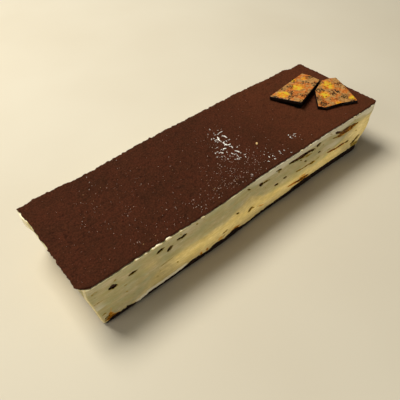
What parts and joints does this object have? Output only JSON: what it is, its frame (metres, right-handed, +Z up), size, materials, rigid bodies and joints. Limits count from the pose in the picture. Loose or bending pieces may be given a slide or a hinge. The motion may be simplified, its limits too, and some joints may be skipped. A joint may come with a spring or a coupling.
{
  "type": "tiramisu bar",
  "caption": "Whole layered tiramisu bar: coffee-soaked sponge and mascarpone cream under a cocoa layer, with broken chocolate plaques lying on top at one end.",
  "frame": {"origin": "on the resting plane, under the middle of the bar", "axes": "+X along the bar towards the end with the plaques, +Y across to the far long side, +Z up"},
  "size_m": [0.3609, 0.1147, 0.064],
  "materials": {
    "soaked_sponge": "moist, porous, soaked dark with coffee",
    "sponge": "porous brown sponge, matte",
    "cream": "smooth smeared mascarpone cream, satin",
    "cocoa": "fine cocoa powder, fully matte",
    "chocolate": "dark chocolate with a mottled orange and yellow printed face",
    "sugar": "white sugar flakes",
    "crumb": "loose sponge crumbs"
  },
  "bodies": {
    "root": {"sponge_base": "soaked_sponge", "cream_lower": "cream", "sponge_lower": "sponge", "cream_middle": "cream", "sponge_upper": "sponge", "cream_upper": "cream", "cocoa_top": "cocoa", "plaque_left": "chocolate", "plaque_right": "chocolate"}
  },
  "joints": []
}
